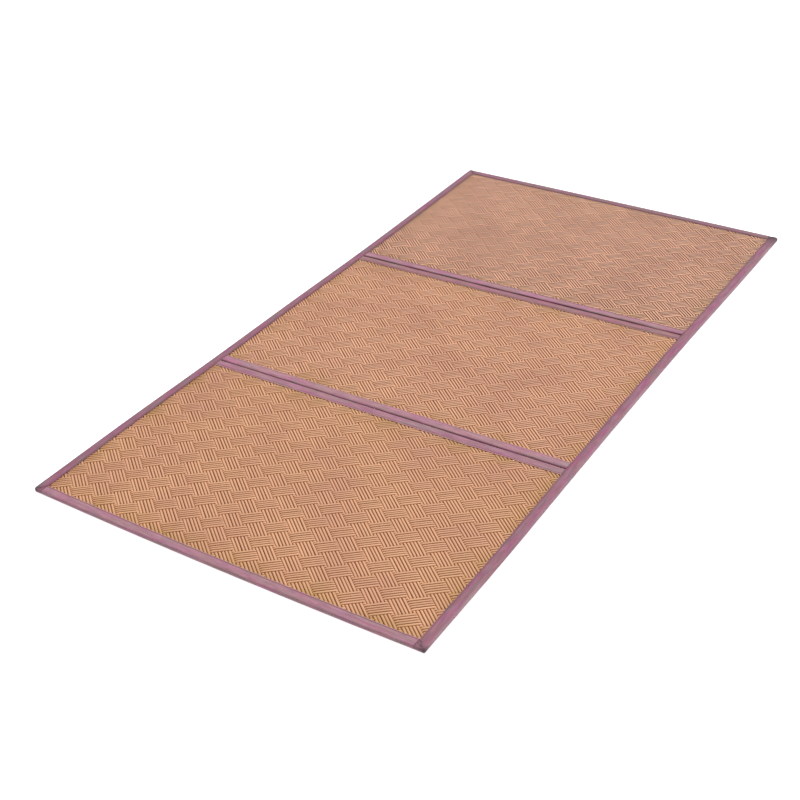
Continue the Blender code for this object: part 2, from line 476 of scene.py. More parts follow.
def panel_corners(near, far):
    """The four corners of a panel on the real mat, anticlockwise from the near left one."""
    x, y = real_places(np.array([LEFT, RIGHT, RIGHT, LEFT]), np.array([near, near, far, far]))
    return [Vector((x[i], y[i], 0)) for i in range(4)]


def cut_to_panel(mesh, corners):
    """Cuts a field of strands along the four sides of a panel, and closes the cut ends."""
    for start, end in zip(corners, corners[1:] + corners[:1]):
        outwards = (end - start).cross(Vector((0, 0, 1))).normalized()
        for inset, is_edge in ((CUT_INSET, True), (TAPE_WIDTH, False)):
            cut = bmesh.ops.bisect_plane(
                mesh, geom=all_of(mesh), plane_co=start - outwards * inset, plane_no=outwards,
                clear_outer=is_edge,
            )
            if is_edge:
                bmesh.ops.holes_fill(mesh, edges=only(bmesh.types.BMEdge, cut["geom_cut"]), sides=0)


def copy_all(mesh, pattern, shift):
    """Adds a copy of some geometry of a mesh, moved by a shift."""
    copy = bmesh.ops.duplicate(mesh, geom=pattern)["geom"]
    bmesh.ops.translate(mesh, verts=only(bmesh.types.BMVert, copy), vec=shift)


def repeat(mesh, times, shift):
    """Repeats a whole mesh at even shifts. It is doubled for as long as that fits, which is quick."""
    while times % 2 == 0:
        copy_all(mesh, all_of(mesh), shift)
        shift, times = shift * 2, times // 2
    pattern = all_of(mesh)
    for number in range(1, times):
        copy_all(mesh, pattern, shift * number)


def make_field(corners, matrix, run, step, late):
    """The bmesh of one set of strands in a panel. It runs along run, and its strands are a pitch
    apart along step. late says how many strands later its floats start than the falling set's."""
    tidy = [matrix.inverted() @ corner for corner in corners]
    runs, steps = zip(*(oblique(corner.x, corner.y, run) for corner in tidy))
    first_period = math.floor(min(runs) / PERIOD) - 2
    periods = math.ceil(max(runs) / PERIOD) + 1 - first_period
    first_repeat = math.floor(min(steps) / PERIOD)
    repeats = math.ceil((max(steps) / PERIOD + 1 - first_repeat) / REPEATS_AT_ONCE) * REPEATS_AT_ONCE
    field = bmesh.new()
    turn = Matrix.Rotation(math.atan2(run.y, run.x), 4, "Z")
    for first, count, over, middle in STRAND_KINDS:
        strand = model_strand(over, periods)
        start = step * first * PITCH + run * ((middle + late) * PITCH + first_period * PERIOD)
        strand.transform(Matrix.Translation(start) @ turn)
        for _ in range(count):
            field.from_mesh(strand)
            strand.transform(Matrix.Translation(step * PITCH))
        bpy.data.meshes.remove(strand)
    repeat(field, repeats, step * PERIOD)
    bmesh.ops.translate(field, verts=field.verts, vec=step * first_repeat * PERIOD)
    bmesh.ops.transform(field, verts=field.verts, matrix=matrix)
    cut_to_panel(field, corners)
    return field


# %% [markdown]
# ## What makes the weave look handmade
#
# Perfect copies look printed. Each strand wanders a little sideways, lies a little to one side of its
# place, and sits a little higher or lower than its neighbours. Under the tape the strands are pressed
# together, so that it can lie round them. All are plain moves of points, done with arrays because
# there are many.
#
# The same step writes what the material needs as attributes: the strand's number, the distance along
# it, and how near a point is to the end of a float, to the strand's side, to the tape and to its hem.
# A lozenge's near side is shaded less than its other lines, as nothing stands in front of it.

# %% Wander, press and mark the strands
WANDER, WANDER_LENGTH = 0.00012, 0.11
SHORTEST_WANDER, MORE_WANDER = 0.7, 0.6  # how many waves a strand makes in that length, at least
SPACING_ERROR = 0.0005  # from the leftmost to the rightmost place of a strand
UNEVENNESS = 0.00035  # of the thickness, of which a wave takes a part
STEADY_PART, WAVING_PART = 0.6, 0.4
PRESS_START, PRESS_END = TAPE_WIDTH + 0.001, TAPE_WIDTH - 0.002
PRESSED_THICKNESS = WEAVE_THICKNESS - 0.0026
FLOAT_END = 0.9  # strands
NEAR_TAPE_REACH = 0.028
UNDER_HEM_REACH = 0.0035
HEM_SHADES = np.array([[0.65], [0.4], [0.1], [0.1]])  # at the left, right, near and far edges of a panel
NEAR_SIDES = (0.72, 0.9)  # how dark a near side is beside a side in a gap, rising and falling


def edge_distances(points, near, far):
    """How far points lie inside the left, right, near and far edges of a panel."""
    x, y = points[:, X], points[:, Y]
    left, right = (np.interp(y, *line) for line in SIDE_LINES)
    low, high = (np.interp(x, *CROSS_LINES[place]) for place in (near, far))
    return np.array((x - left, right - x, y - low, high - y))


def finish_strands(data, matrix, run, late, near, far, seed):
    """Moves the points of a field off their perfect places, and writes its attributes."""
    points = points_of(data)
    back = np.array(matrix.inverted())
    tidy = points @ back[:3, :3].T + back[:3, 3]
    along, across = oblique(tidy[:, X], tidy[:, Y], run)
    number = np.round(across / PITCH)
    chance = np.random.default_rng(seed)
    turn, drop = chance.random((2, int(number.max() - number.min()) + 1))
    strand = (number - number.min()).astype(int)
    waves = along / WANDER_LENGTH * (SHORTEST_WANDER + MORE_WANDER * drop[strand])
    wave = np.sin(2 * math.pi * (waves + turn[strand]))
    sideways = wave * WANDER + (turn[strand] - 0.5) * SPACING_ERROR
    points[:, X] -= run.y * sideways
    points[:, Y] += run.x * sideways
    middle = WEAVE_THICKNESS / 2
    distances = edge_distances(points, near, far)
    inside = distances.min(axis=0)
    press = np.clip((PRESS_START - inside) / (PRESS_START - PRESS_END), 0, 1)
    thickness = WEAVE_THICKNESS - UNEVENNESS * drop[strand] * (STEADY_PART + WAVING_PART * wave)
    thickness = thickness * (1 - press) + PRESSED_THICKNESS * press
    middle_height = middle + (MAT_THICKNESS / 2 - middle) * press
    points[:, Z] = middle_height + (points[:, Z] - middle) * thickness / WEAVE_THICKNESS
    data.vertices.foreach_set("co", points.ravel())
    from_hems = np.maximum(distances - TAPE_WIDTH, 0)
    float_lengths, float_middles = np.array([
        (over, middle) for _, count, over, middle in STRAND_KINDS for _ in range(count)
    ]).T
    kind = (number - STRAND_KINDS[0][0]).astype(int) % REPEAT
    from_float = (along / PITCH - float_middles[kind] - late + REPEAT / 2) % REPEAT - REPEAT / 2
    from_end = float_lengths[kind] / 2 - np.abs(from_float)
    # the near side of a lozenge is the last one of its rising strands, or the first of its falling ones
    is_nearest = np.array([
        place == (count - 1 if run == RISING else 0)
        for _, count, _, _ in STRAND_KINDS for place in range(count)
    ])
    off_middle = across / PITCH - number
    faces_near = is_nearest[kind] & ((off_middle > 0) == (run == RISING))
    attributes = {
        "along": along,
        "number": number,
        "float_end": 1 - np.clip(np.abs(from_end) / FLOAT_END, 0, 1),
        "side": np.abs(off_middle) * 2 / STRAND_FILL * np.where(faces_near, NEAR_SIDES[run != RISING], 1),
        "near_tape": np.exp(-from_hems.min(axis=0) / NEAR_TAPE_REACH),
        "under_hem": (HEM_SHADES * np.exp(-((from_hems / UNDER_HEM_REACH) ** 2))).max(axis=0),
    }
    for name, values in attributes.items():
        attribute = data.attributes.new(name, "FLOAT", "POINT")
        attribute.data.foreach_set("value", values.astype(np.float32))


# %% [markdown]
# ## The finish of the strands
#
# The strands are a pale tan plant stem with a satin skin. Each strand has a tone of its own and fine
# fibres along it. Its ridge gets a painted highlight, and its sides a brown painted shade towards the
# gaps between the strands. Soft patches are rosier, and next to the tape, where nobody lies, others
# stay yellower.

# %% The strand group
FIBRES_ALONG, FIBRES_ACROSS = 60.0, 7.31  # noise for each metre along a strand, and for each strand
# The ridge's share of the paleness is a painted highlight, on the ridge and at a float's ends.
FIBRE_SHARE, RIDGE_HIGHLIGHT_SHARE = 0.25, 0.55  # of a strand's paleness
CHANCE_START, PALENESS_START = 0.1, 0.025


def strand_group():
    """Colour, height and wear of a strand, from its number and the distance along it."""
    tree, given, out = new_group(
        "strand_skin",
        {
            COLOUR: ("Tone", "Pale Tone", "Gap Tone", "Yellow Tone", "Rosy Tone"),
            NUMBER: ("Number", "Along", "Near Tape", "Highlight", "Shade", "Patches", "Blush", "Variety"),
        },
        {COLOUR: ("Color",), NUMBER: ("Height", "Wear")},
    )
    own_tone = add_node(tree, "ShaderNodeTexWhiteNoise", {"W": given["Number"]}, noise_dimensions="1D")
    fibre_place = add_node(tree, "ShaderNodeCombineXYZ", {
        "X": math_node("MULTIPLY", given["Along"], FIBRES_ALONG),
        "Y": math_node("MULTIPLY", given["Number"], FIBRES_ACROSS),
    })
    fibres = noise_value(fibre_place.outputs[0], 1.0, Detail=3.0, Roughness=0.6)
    own = math_node("SUBTRACT", own_tone.outputs["Value"], 0.5)
    chance = math_node("MULTIPLY_ADD", fibres, FIBRE_SHARE, CHANCE_START)
    chance = math_node("MULTIPLY_ADD", own, given["Variety"], chance)
    paleness = math_node("ADD", chance, PALENESS_START)
    # Painted highlight: the ridge and a float's ends are blended towards the pale tone.
    paleness = math_node("MULTIPLY_ADD", given["Highlight"], RIDGE_HIGHLIGHT_SHARE, paleness)
    colour = blend(paleness, given["Tone"], given["Pale Tone"])
    colour = blend(given["Blush"], colour, given["Rosy Tone"])
    yellowed = math_node("MULTIPLY", given["Near Tape"], given["Patches"])
    colour = blend(yellowed, colour, given["Yellow Tone"])
    # Painted shade: the lines between the strands and the weave under the tape's hem take the gap's tone.
    colour = blend(given["Shade"], colour, given["Gap Tone"])
    fill(out, {"Color": colour, "Height": fibres, "Wear": chance})
    return tree


STRAND_SKIN = strand_group()
print("strand_skin has", len(STRAND_SKIN.nodes), "nodes")

# %% [markdown]
# ## Six finishes from one group
#
# Each set of each panel has a finish with values of its own, because the light and shade painted on
# it differ: the two sets of strands catch the light from different sides, and the three panels are
# seen from different distances. The shape of a line between two strands, from its ridge to its gap,
# is the same in all of them.

# %% The strand materials
SKIN_TONE = (0.615, 0.320, 0.178)
# The gap's tone is painted shade, for the lines between the strands and the weave under the tape's hem.
GAP_TONE = (0.24, 0.075, 0.026)
YELLOW_TONE = (0.53, 0.30, 0.10)
ROSY_TONE = (0.64, 0.315, 0.205)
HEM_SHADE = 0.7
DEEP, AFLOAT = WEAVE_THICKNESS * 0.12, WEAVE_THICKNESS * 0.36  # from the weave's middle height
DEEP_LINE = 0.4  # how dark a line is deep in the weave, beside one on a float
RIDGE_END, LINE_START = 0.8, 0.25  # shares of the way from a strand's middle to its side
YELLOW_PATCHES = (0.09, 0.38, 0.62)  # size, and the noise at which a patch starts and is full
ROSY_PATCHES, ROSINESS = (0.16, 0.42, 0.68), 0.6


def patch_value(place, patches, most):
    """A soft patchy value from 0 to most."""
    size, low, high = patches
    return carry(noise_value(place, 1 / size, Detail=2.0), low, high, 0.0, most)


def strand_material(name, brightness, line_shade, tint, contrast, gap, yellow, variety, end_highlight):
    """The satin skin of one set of strands. contrast is how much paler its ridges are than its sides, as
    painted highlight and shade, line_shade is how much of the gap's tone the lines between the strands
    take as painted shade, gap is how bright that tone is, yellow is how yellow they are beside the tape,
    variety is how much their own tones differ, and the last is how much of a painted highlight the ends
    of a float get, where the strand bends."""
    material, tree, shader = new_material(name)
    place = object_place(tree)
    height = parts_of(place)["Z"]
    from_middle = math_node("ABSOLUTE", math_node("SUBTRACT", height, WEAVE_THICKNESS / 2))
    afloat = carry(from_middle, DEEP, AFLOAT, DEEP_LINE, 1.0, "SMOOTHSTEP")
    from_ridge = attribute_value(tree, "side")
    ridge = carry(from_ridge, 0.0, RIDGE_END, 1.0, 0.0, "SMOOTHSTEP")
    side = carry(from_ridge, LINE_START, 1.0, 0.0, line_shade, "SMOOTHSTEP")
    hem = math_node("MULTIPLY", attribute_value(tree, "under_hem"), HEM_SHADE)
    skin_tone = [brightness * part * share for part, share in zip(SKIN_TONE, tint)]
    skin = place_group(tree, STRAND_SKIN, {
        "Tone": toned(skin_tone, 1 - contrast), "Pale Tone": toned(skin_tone, 1 + contrast),
        "Gap Tone": toned(GAP_TONE, gap), "Yellow Tone": toned(YELLOW_TONE), "Rosy Tone": toned(ROSY_TONE),
        "Number": attribute_value(tree, "number"), "Along": attribute_value(tree, "along"),
        "Near Tape": attribute_value(tree, "near_tape"), "Variety": variety,
        # Painted highlight on the strand's ridge and on a float's ends.
        "Highlight": math_node("MULTIPLY_ADD", attribute_value(tree, "float_end"), end_highlight, ridge),
        # Painted shade on the lines between the strands, weaker deep in the weave, and under the tape's
        # hem.
        "Shade": math_node("MAXIMUM", math_node("MULTIPLY", side, afloat), hem),
        "Patches": patch_value(place, YELLOW_PATCHES, yellow),
        "Blush": patch_value(place, ROSY_PATCHES, ROSINESS),
    }).outputs
    fill(shader, {
        "Base Color": skin["Color"], "Roughness": carry(skin["Wear"], 0.0, 1.0, 0.62, 0.48),
        "Normal": bumps(skin["Height"], 0.35, 0.0004), "Specular IOR Level": 0.35,
    })
    return material


PANEL_LOOKS = {
    # for the rising and the falling strands, brightness and line shade; then for both the tint, the
    # contrast, the gaps' brightness, how yellow they stay beside the tape, their variety and how strong
    # the painted highlight on the floats' ends is. Brightness, contrast, line shade and the gaps'
    # brightness paint the light and shade on each set; the back panel's lines get the darkest painted
    # shade.
    "front": ((1.18, 0.87), (1.20, 0.92), (1.025, 1.045, 1.025), 0.27, 1.0, 0.9, 0.2, 0.4),
    "middle": ((1.16, 0.92), (1.22, 1.0), (1.07, 1.09, 1.175), 0.34, 1.0, 0.7, 0.2, 0.4),
    "back": ((1.24, 0.9), (1.37, 1.0), (1.07, 1.06, 1.22), 0.7, 0.1, 0.4, 0.15, 0.1),
}

# %% [markdown]
# ## Weave the three panels
#
# Each panel is two pieces, one for each set of strands, and together they stand for the plain
# slab.

# %% Weave the panels
SMOOTH_ANGLE = math.radians(50)


def add_piece(data, finish):
    """Puts a finished mesh in the scene under its own name, on the mat's only body."""
    data.shade_smooth()
    data.materials.append(finish)
    piece = bpy.data.objects.new(data.name, data)
    scene.collection.objects.link(piece)
    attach(piece, "root")
    return piece


def dress(node, data, finish):
    """Adds a piece in place of a solid."""
    piece = add_piece(data, finish)
    data.set_sharp_from_angle(angle=SMOOTH_ANGLE)
    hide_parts(node)
    return piece


def weave_panel(name, near, far, matrix, seed):
    """A panel's two sets of strands, in place of its slab."""
    corners = panel_corners(near, far)
    rising, falling, *both = PANEL_LOOKS[name]
    sets = (("rising", RISING, FALLING, REPEAT / 2, rising), ("falling", FALLING, RISING, 0, falling))
    for number, (lean, run, step, late, looks) in enumerate(sets):
        data = to_data(make_field(corners, matrix, run, step, late), f"weave_{name}_{lean}")
        finish_strands(data, matrix, run, late, near, far, seed + number)
        finish = strand_material(f"{lean}_strands_{name}", *looks, *both)
        dress(f"panel_{name}", data, finish)
        print(data.name, "has", sum(len(face.vertices) - 2 for face in data.polygons), "triangles")


for seed, (name, near, far, lozenge, size, turn) in enumerate(PANELS):
    weave_panel(name, near, far, weave_matrix(lozenge, size, turn), 10 * seed)

# %% [markdown]
# ## The tape: what it is
#
# The binding is a mauve cotton tape, 24 mm of which shows on the face. It is folded round the edge of
# the mat, its hems are turned in, and one row of stitches holds both hems 3 mm from their edges. The
# stitches pull the cloth into a groove, and the cloth between them puckers.

# %% The sizes of the tape
TURN_RADIUS = 0.0035
TURN_STEPS = 4
CORNER_RADII = {"side_tape_left": (0.008, 0.005), "side_tape_right": (0.0035, 0.007)}  # front and back
CORNER_STEPS = 6
CLOTH_THICKNESS = 0.001
STATION_SPACING = 0.005
END_LENGTH = 0.026  # of a tape's end, which is cut finer for its creases
END_SPACING = 0.0015
SEAM_INSET = 0.0032  # from the hem's edge to the stitches
SEAM = TAPE_WIDTH - SEAM_INSET
GROOVE_DEPTH, GROOVE_WIDTH = 0.0009, 0.0011
FACE_ROWS = [  # how far inwards from the fold the face is cut
    0.0065, 0.010, 0.014, 0.0175, SEAM - 0.0013, SEAM - 0.0006, SEAM, SEAM + 0.0006, SEAM + 0.0013,
    TAPE_WIDTH - 0.0008, TAPE_WIDTH - 0.0003,
]
UNDER_ROWS = [0.012, SEAM - 0.001, SEAM]
BUTT_GAP = 0.0003
print("stitches", round(SEAM * 1000, 1), "mm from the fold")

# %% [markdown]
# ## Shape the tape
#
# The tape starts as a box with one wall missing. Bevels turn its edges into the folds, and cuts along
# and across give it points to shape. They lie closer together at the ends, where the cloth is creased.
# The long tapes' ends are closed round the mat's corners.

# %% Shape the tape
def on_tape(along, lengthwise, sideways, height):
    """A vector from its parts along a tape, across it and up."""
    return Vector((lengthwise, sideways, height) if along == X else (sideways, lengthwise, height))


def cut_at(mesh, axis, place, is_cut=lambda middle: True):
    """Cuts the faces whose middle passes a test, with a plane square to an axis."""
    faces = [face for face in mesh.faces if is_cut(face.calc_center_median())]
    geometry = set(faces)
    for face in faces:
        geometry.update(face.edges)
        geometry.update(face.verts)
    normal = on_tape(axis, 1.0, 0.0, 0.0)
    bmesh.ops.bisect_plane(mesh, geom=list(geometry), plane_co=normal * place, plane_no=normal)


def round_over(mesh, edges, radius, steps):
    """Turns sharp edges into round folds."""
    bmesh.ops.bevel(
        mesh, geom=edges, offset=radius, offset_type="OFFSET", affect="EDGES",
        segments=steps, profile=0.5, material=-1,
    )


def is_at(value, target):
    """Whether two places along an axis are the same."""
    return abs(value - target) < 1e-6


def shape_tape(along, outer, inward, start, end, radii):
    """The outside of a folded tape on the tidy rectangle. Its fold is at outer, its hems lie
    inwards, and it runs from start to end along one axis. A closed tape has the radii of its ends."""
    across = 1 - along
    size = on_tape(along, end - start, TAPE_WIDTH, MAT_THICKNESS)
    middle = on_tape(along, (start + end) / 2, outer + inward * TAPE_WIDTH / 2, MAT_THICKNESS / 2)
    mesh = bmesh.new()
    bmesh.ops.create_cube(mesh, size=1.0)
    bmesh.ops.scale(mesh, vec=size, verts=mesh.verts)
    bmesh.ops.translate(mesh, vec=middle, verts=mesh.verts)
    open_walls = [
        face for face in mesh.faces
        if is_at(face.calc_center_median()[across], outer + inward * TAPE_WIDTH)
        or not radii and abs(face.normal[along]) > 0.5
    ]
    bmesh.ops.delete(mesh, geom=open_walls, context="FACES_ONLY")
    for place in (start + END_LENGTH, end - END_LENGTH):
        cut_at(mesh, along, place)
    long_edges = [edge for edge in mesh.edges if edge.calc_length() > 0.5]
    stations = round((end - start) / STATION_SPACING)
    bmesh.ops.subdivide_edges(mesh, edges=long_edges, cuts=stations, use_grid_fill=True)
    for place, radius in zip((start, end), radii):
        corner = [
            edge for edge in mesh.edges
            if not is_at(edge.verts[0].co.z, edge.verts[1].co.z)
            and is_at(edge.verts[0].co[across], outer) and is_at(edge.verts[0].co[along], place)
        ]
        round_over(mesh, corner, radius, CORNER_STEPS)
    folds = [
        edge for edge in mesh.edges
        if len(edge.link_faces) == 2 and sum(abs(face.normal.z) < 0.5 for face in edge.link_faces) == 1
    ]
    round_over(mesh, folds, TURN_RADIUS, TURN_STEPS)
    for row in FACE_ROWS:
        cut_at(mesh, across, outer + inward * row, lambda middle: middle.z > MAT_THICKNESS - TURN_RADIUS)
    for row in UNDER_ROWS:
        cut_at(mesh, across, outer + inward * row, lambda middle: middle.z < TURN_RADIUS)
    for cut in range(1, math.floor(END_LENGTH / END_SPACING)):
        for place in (start + cut * END_SPACING, end - cut * END_SPACING):
            cut_at(mesh, along, place, lambda middle: abs(middle[along] - place) < END_LENGTH)
    return mesh


# %% [markdown]
# ## Groove, hem and puckers
#
# Cloth that is sewn down is never flat. Near the stitches it sinks into a groove and puckers into
# small waves, between the groove and the fold it lies a little proud, and its hem drops to the weave.
# The long tapes' ends are folded in over the corners, which leaves a few creases, and the cross tapes
# wrinkle at their ends. The hem and the walls also waver a little sideways.
#
# The same step marks for the material the cloth's creases and the edge round which it folds, and
# where painted shade goes: at the mat's corners, and as a painted contact shadow low on its walls.

# %% Sculpt the tape
PUFF = 0.0003
SLOW_LENGTH = 0.09  # of the slow changes along a tape
PUCKER_HEIGHT, PUCKER_LENGTH, PUCKER_BREADTH = 0.00035, 0.011, 0.02
PUCKER_INSET, PUCKER_REACH = 0.002, 0.004  # from the seam towards the fold
HEM_DROP = 0.0006
DENT_BELOW = 0.3  # how much of a dent in the face shows on the underside
WALL_WOBBLE, WALL_WOBBLE_LENGTH, WALL_WOBBLE_HEIGHT = 0.0003, 0.03, 0.006
HEM_WOBBLE, HEM_WOBBLE_LENGTH = 0.0014, 0.028
CREASES = (
    # on a closed end: where a crease starts and ends, as inward and along, then its depth
    (0.0235, 0.0215, 0.006, 0.004, 0.0011),
    (0.0235, 0.0130, 0.010, 0.006, 0.0006),
    (0.0200, 0.0235, 0.012, 0.002, 0.0007),
)
CREASE_WIDTH = 0.0011
CREASE_FULL = 0.0009  # the depth from which a crease is at its darkest
WRINKLE_HEIGHT, WRINKLE_REACH = 0.0003, 0.022  # at the cross tapes' ends, where they are held
WRINKLE_LENGTH, WRINKLE_SLANT = 0.0062, 0.7
EDGE_REACH = 0.0035
EDGE_MARK_LEVEL, EDGE_CHANGE = 0.6, 0.8  # how strong the mark of the edge is, and how it changes along it
# How far the painted shade at a long tape's tips reaches.
TIP_REACHES = {"side_tape_left": (0.013, 0.009), "side_tape_right": (0.012, 0.045)}  # front and back
LOW_REACH = 0.003  # above the floor, where the wall gets a painted contact shadow


def unit(value):
    """A value kept from 0 to 1."""
    return min(max(value, 0), 1)


def dip(distance, width):
    """A soft dip with no ends, 1 at its middle."""
    return math.exp(-((distance / width) ** 2))


def ripple(x, y, z):
    """Soft noise at a place, from about -1 to 1."""
    return noise.noise(Vector((x, y, z)))


def crease_depth(inwards, from_end):
    """How far the folded end of a long tape sinks into its creases."""
    depth = 0.0
    for *ends, deep in CREASES:
        start, run = Vector(ends[:2]), Vector(ends[2:]) - Vector(ends[:2])
        offset = Vector((inwards, from_end)) - start
        nearest = run * unit(offset.dot(run) / run.length_squared)
        depth += deep * dip((offset - nearest).length, CREASE_WIDTH)
    return depth


def sculpt_tape(mesh, along, outer, inward, start, end, tip_reaches, seed):
    """Gives a tape its groove, hem, puckers and creases. Marks its creases, its edge and its painted
    contact shade. A closed tape has the reaches of that painted shade on its tips."""
    across = 1 - along
    crease_mark, edge_mark, contact_shade_mark = [
        mesh.verts.layers.float.new(name) for name in ("crease", "edge", "contact_shade")
    ]
    for vert in mesh.verts:
        place, height = vert.co[along], vert.co.z
        inwards = (vert.co[across] - outer) * inward
        from_end = min(place - start, end - place)
        slow = ripple(place / SLOW_LENGTH, inwards / SLOW_LENGTH, seed / SLOW_LENGTH)
        pucker = ripple(place / PUCKER_LENGTH, inwards / PUCKER_BREADTH, seed + 7.0)
        on_wall = 1 - min(inwards / TURN_RADIUS, 1)
        near_hem = unit(2 * inwards / TAPE_WIDTH - 1)
        is_face = height > MAT_THICKNESS / 2
        lift = PUFF * math.sin(math.pi * unit(inwards / SEAM)) * (1 + slow)
        lift -= GROOVE_DEPTH * dip(inwards - SEAM, GROOVE_WIDTH) * (1 + 0.5 * pucker)
        lift += PUCKER_HEIGHT * pucker * dip(inwards - SEAM + PUCKER_INSET, PUCKER_REACH)
        lift -= HEM_DROP * max(0, (inwards - TAPE_WIDTH + HEM_DROP) / HEM_DROP)
        tip = 0.0
        if tip_reaches:
            tip = dip(math.hypot(inwards, from_end), tip_reaches[place - start > end - place])
            crease = crease_depth(inwards, from_end)
            vert[crease_mark] = min(crease / CREASE_FULL, 1) * is_face
            lift -= crease
        else:
            lift += WRINKLE_HEIGHT * dip(from_end, WRINKLE_REACH) * math.sin(
                2 * math.pi * (from_end - WRINKLE_SLANT * inwards) / WRINKLE_LENGTH
            )
        low = max(0, 1 - height / LOW_REACH)
        vert[edge_mark] = dip(inwards, EDGE_REACH) * (EDGE_MARK_LEVEL + EDGE_CHANGE * slow)
        # Painted shade at the tips, and low on the wall where it meets the floor.
        vert[contact_shade_mark] = max(tip, low * on_wall)
        if is_face:
            vert.co.z += lift
        elif inwards > TURN_RADIUS:
            vert.co.z += max(0, -lift) * DENT_BELOW
        shift = -WALL_WOBBLE * on_wall * ripple(
            place / WALL_WOBBLE_LENGTH, vert.co.z / WALL_WOBBLE_HEIGHT, seed,
        )
        shift += HEM_WOBBLE * near_hem * ripple(place / HEM_WOBBLE_LENGTH, 0, seed + 3.0)
        vert.co[across] += inward * shift
        vert.co.z = max(vert.co.z, 0)


def write_cloth_map(mesh, along, outer, inward):
    """A UV map in metres, as if the tape were unfolded: along it, and round it from its lower hem."""
    layer = mesh.loops.layers.uv.new("cloth")
    across = 1 - along
    for face in mesh.faces:
        for loop in face.loops:
            inwards = (loop.vert.co[across] - outer) * inward
            height = loop.vert.co.z - MAT_THICKNESS / 2
            loop[layer].uv = (loop.vert.co[along], height + math.copysign(inwards, height))


def lay_unevenly(mesh):
    """Moves every point from the tidy rectangle to its place on the real mat."""
    places = np.array([vert.co for vert in mesh.verts])
    real_x, real_y = real_places(places[:, X], places[:, Y])
    for vert, x, y in zip(mesh.verts, real_x, real_y):
        vert.co.x, vert.co.y = x, y


# %% [markdown]
# ## The finish of the tape
#
# The tape is plain cotton, dyed mauve and quite matt. From close by its threads show as a fine grid.
# From further off it is streaky along its length, redder here and greyer there, as cheap dye is. The
# streaks of each tape are its own, because each reads another part of the noise.

# %% The cloth group
STREAKS_ALONG, STREAKS_ACROSS = 11.0, 60.0  # for each metre
REDDER, GREYER, FADED = (0.42, 0.62), (0.5, 0.72), (0.32, 0.68)  # where in the noise each goes on
FADE = (0.80, 1.16)  # how bright the dye is, from one end of that to the other
THREAD_SHARE = 0.35  # of the cloth's height, beside its fluff
# The tone of the painted shade between the cloth's threads.
THREAD_GAP_TONE = (0.05, 0.02, 0.03)


def cloth_group():
    """Colour and height of plain cotton, from its place on the unfolded cloth. Roll tells one tape's
    dye from another's."""
    tree, given, out = new_group(
        "cotton_cloth",
        {COLOUR: ("Dye", "Red Dye", "Grey Dye"), PLACE: ("Cloth Place",), NUMBER: ("Roll", "Threads")},
        {COLOUR: ("Color",), NUMBER: ("Height",)},
    )
    cloth = parts_of(given["Cloth Place"])
    streaks = add_node(tree, "ShaderNodeCombineXYZ", {
        "X": math_node("MULTIPLY", cloth["X"], STREAKS_ALONG),
        "Y": math_node("MULTIPLY", cloth["Y"], STREAKS_ACROSS),
        "Z": given["Roll"],
    }).outputs[0]
    red = carry(noise_value(streaks, 1.0, Detail=3.0, Roughness=0.6), *REDDER)
    grey = carry(noise_value(streaks, 1.7, Detail=2.0, Distortion=0.4), *GREYER)
    brightness = carry(noise_value(streaks, 2.6, Detail=3.0, Roughness=0.65), *FADED, *FADE)
    colour = blend(red, given["Dye"], given["Red Dye"])
    colour = blend(grey, colour, given["Grey Dye"])
    colour = add_node(tree, "ShaderNodeHueSaturation", {"Value": brightness, "Color": colour}).outputs[0]
    threads = [
        math_node("SINE", math_node("MULTIPLY", cloth[axis], given["Threads"]))
        for axis in ("X", "Y")
    ]
    fluff = noise_value(given["Cloth Place"], 900.0, Detail=2.0)
    height = math_node("MULTIPLY_ADD", math_node("MULTIPLY", *threads), THREAD_SHARE, fluff)
    # Painted shade between the threads, where the cloth is low.
    low = math_node("MULTIPLY_ADD", height, -0.12, 0.16)
    fill(out, {"Color": blend(low, colour, toned(THREAD_GAP_TONE)), "Height": height})
    return tree


COTTON = cloth_group()
print("cotton_cloth has", len(COTTON.nodes), "nodes")

# %% [markdown]
# ## One finish for each tape
#
# Over the cloth go painted light and shade. The tape gets painted shade along the stitches and in
# its creases, a painted highlight on the front and fold tapes' hem lips and painted shade on the back
# and side tapes', painted shade on the fold tapes' edges at the slits, a painted sheen on the right
# tape's edge, a darker grey on the other edges, and almost black painted shade at the mat's corners
# and low on its walls. The tapes differ in all of these.

# %% The tape materials
THREAD_PITCH = 0.0012
SEAM_PLACE = MAT_THICKNESS / 2 + SEAM  # of the stitches on the unfolded cloth
LIP_PLACE = MAT_THICKNESS / 2 + TAPE_WIDTH - 0.001  # of the hem, past the stitches
SEAM_SHADE_WIDTH, LIP_WIDTH = 0.0030, 0.0026
# Painted shade in the creases, and how much of the plain dye it keeps, also along the stitches.
CREASE_STRENGTH, CREVICE_SHADE = 0.8, 0.28
CROSS_DYES = ((0.414, 0.217, 0.245), (0.45, 0.175, 0.275), (0.35, 0.23, 0.25))  # plain, red and grey
# The side tapes' dyes are painted darker than the cross tapes', as shade on cloth whose grain runs along
# the mat.
SIDE_SHADED_DYES = ((0.338, 0.152, 0.190), (0.37, 0.115, 0.215), (0.27, 0.175, 0.205))
WARM_DYES = ((0.40, 0.195, 0.205), (0.43, 0.16, 0.225), (0.35, 0.21, 0.21))
# Tones for the edge round which a tape folds: painted shade for the fold tapes' edges at the slits, a
# painted sheen for the right tape's outer edge, and a darker grey for the rest.
GREY_EDGE, EDGE_SHADE, EDGE_SHEEN = (0.13, 0.115, 0.12), (0.06, 0.006, 0.014), (0.46, 0.31, 0.34)
# A painted highlight on the lip of a hem, and painted shade on it for the back and side tapes.
LIP_HIGHLIGHT, LIP_SHADE = (0.62, 0.32, 0.31), (0.20, 0.06, 0.09)
# Painted shade, almost black, at the mat's corners and low on the tapes' walls.
CONTACT_SHADE_TONE, CONTACT_SHADE_STRENGTH = (0.04, 0.035, 0.04), 0.8


